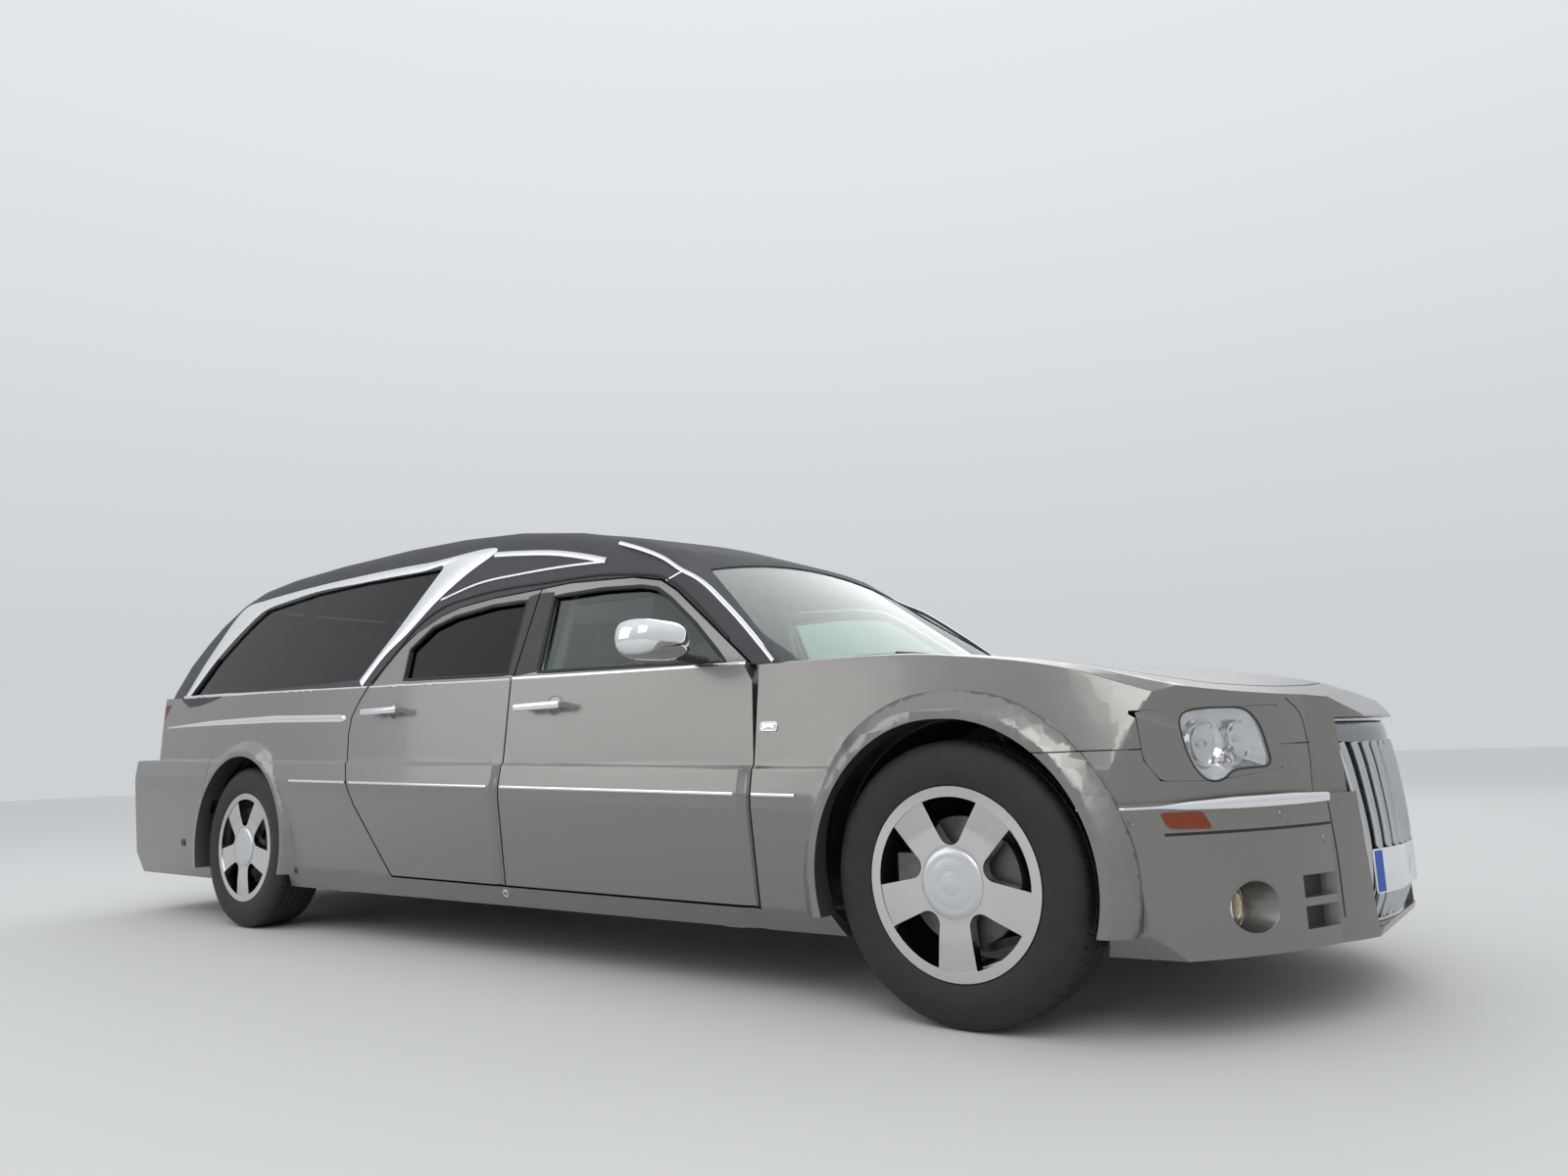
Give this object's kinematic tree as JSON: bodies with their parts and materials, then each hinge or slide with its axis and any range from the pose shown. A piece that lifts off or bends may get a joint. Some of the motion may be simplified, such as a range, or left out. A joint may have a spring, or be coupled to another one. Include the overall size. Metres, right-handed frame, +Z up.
{
  "type": "hearse",
  "caption": "Long-wheelbase four-door hearse with a raised covered roof, upright barred grille, load deck and rear door",
  "frame": {"origin": "on the ground under the middle of the whole car", "axes": "+X forward along the car, +Y to the car's left, +Z up"},
  "size_m": [5.947, 2.3092, 1.7348],
  "materials": {
    "silver_paint": "gloss",
    "roof_vinyl": "grained",
    "clear_glass": "clear",
    "dark_glass": "tinted",
    "chrome": "polished",
    "wheel_chrome": "polished",
    "lamp_clear": "clear",
    "lamp_red": "clear",
    "black_plastic": "matt",
    "underbody": "matt",
    "cast_metal": "raw",
    "exhaust_metal": "dull",
    "seat_leather": "soft",
    "deck_wood": "varnished",
    "trim_panel": "felt",
    "tyre": "matt"
  },
  "bodies": {
    "car_body": {"roof": "roof_vinyl", "side_frames": "silver_paint", "fenders": "silver_paint", "bumper_front": "silver_paint", "nose_shell": "silver_paint", "bumper_rear": "silver_paint", "grille": "chrome", "headlamps": "lamp_clear", "fog_lamps": "lamp_clear", "tail_lamps": "lamp_red", "windscreen": "clear_glass", "quarter_glasses": "dark_glass", "cowl": "black_plastic", "bulkhead": "underbody", "floor_pan": "underbody", "wheel_houses": "black_plastic", "dashboard": "black_plastic", "front_seats": "seat_leather", "rear_bench": "seat_leather", "partition": "trim_panel", "load_deck": "deck_wood", "front_suspension": "cast_metal", "rear_axle": "cast_metal", "exhaust": "exhaust_metal", "engine": "cast_metal"},
    "bonnet": {"bonnet": "silver_paint"},
    "tailgate": {"tailgate": "silver_paint", "tailgate_glass": "dark_glass"},
    "steering_wheel": {"steering_wheel": "black_plastic"},
    "front_left_door": {"door_front_left": "silver_paint", "door_glass_front_left": "clear_glass", "handle_front_left": "chrome", "mirror_left": "chrome"},
    "rear_left_door": {"door_rear_left": "silver_paint", "door_glass_rear_left": "dark_glass", "handle_rear_left": "chrome"},
    "knuckle_left": {"knuckle_left": "cast_metal"},
    "front_right_door": {"door_front_right": "silver_paint", "door_glass_front_right": "clear_glass", "handle_front_right": "chrome", "mirror_right": "chrome"},
    "rear_right_door": {"door_rear_right": "silver_paint", "door_glass_rear_right": "dark_glass", "handle_rear_right": "chrome"},
    "knuckle_right": {"knuckle_right": "cast_metal"},
    "front_left_wheel": {"tyre_front_left": "tyre", "rim_front_left": "wheel_chrome"},
    "front_right_wheel": {"tyre_front_right": "tyre", "rim_front_right": "wheel_chrome"},
    "rear_left_wheel": {"tyre_rear_left": "tyre", "rim_rear_left": "wheel_chrome"},
    "rear_right_wheel": {"tyre_rear_right": "tyre", "rim_rear_right": "wheel_chrome"}
  },
  "joints": [
    {"name": "front_left_door_hinge", "type": "hinge", "parent": "car_body", "child": "front_left_door", "pos_m": [1.4315, 0.945, 0.65], "axis": [0, 0, -1], "range_deg": [0, 65]},
    {"name": "rear_left_door_hinge", "type": "hinge", "parent": "car_body", "child": "rear_left_door", "pos_m": [0.3105, 0.945, 0.65], "axis": [0, 0, -1], "range_deg": [0, 65]},
    {"name": "steer_left", "type": "hinge", "parent": "car_body", "child": "knuckle_left", "pos_m": [2.0695, 0.75, 0.3635], "axis": [0, 0, 1], "range_deg": [-35, 35]},
    {"name": "front_left_wheel_spin", "type": "hinge", "parent": "knuckle_left", "child": "front_left_wheel", "pos_m": [2.0695, 0.8, 0.3635], "axis": [0, 1, 0], "continuous": true},
    {"name": "rear_left_wheel_spin", "type": "hinge", "parent": "car_body", "child": "rear_left_wheel", "pos_m": [-1.6565, 0.8, 0.3635], "axis": [0, 1, 0], "continuous": true},
    {"name": "front_right_door_hinge", "type": "hinge", "parent": "car_body", "child": "front_right_door", "pos_m": [1.4315, -0.945, 0.65], "axis": [0, 0, 1], "range_deg": [0, 65]},
    {"name": "rear_right_door_hinge", "type": "hinge", "parent": "car_body", "child": "rear_right_door", "pos_m": [0.3105, -0.945, 0.65], "axis": [0, 0, 1], "range_deg": [0, 65]},
    {"name": "steer_right", "type": "hinge", "parent": "car_body", "child": "knuckle_right", "pos_m": [2.0695, -0.75, 0.3635], "axis": [0, 0, 1], "range_deg": [-35, 35]},
    {"name": "front_right_wheel_spin", "type": "hinge", "parent": "knuckle_right", "child": "front_right_wheel", "pos_m": [2.0695, -0.8, 0.3635], "axis": [0, 1, 0], "continuous": true},
    {"name": "rear_right_wheel_spin", "type": "hinge", "parent": "car_body", "child": "rear_right_wheel", "pos_m": [-1.6565, -0.8, 0.3635], "axis": [0, 1, 0], "continuous": true},
    {"name": "bonnet_hinge", "type": "hinge", "parent": "car_body", "child": "bonnet", "pos_m": [1.5415, 0, 0.985], "axis": [0, -1, 0], "range_deg": [0, 50]},
    {"name": "tailgate_hinge", "type": "hinge", "parent": "car_body", "child": "tailgate", "pos_m": [-2.3535, 0, 1.575], "axis": [0, 1, 0], "range_deg": [0, 75]},
    {"name": "steering_column", "type": "hinge", "parent": "car_body", "child": "steering_wheel", "pos_m": [0.9515, 0.37, 0.85], "axis": [-0.8601, 0, 0.5101], "range_deg": [-525, 525]}
  ],
  "couplings": [
    {"joint": "steer_left", "follows": "steering_column", "ratio": 0.066667},
    {"joint": "steer_right", "follows": "steering_column", "ratio": 0.066667}
  ]
}
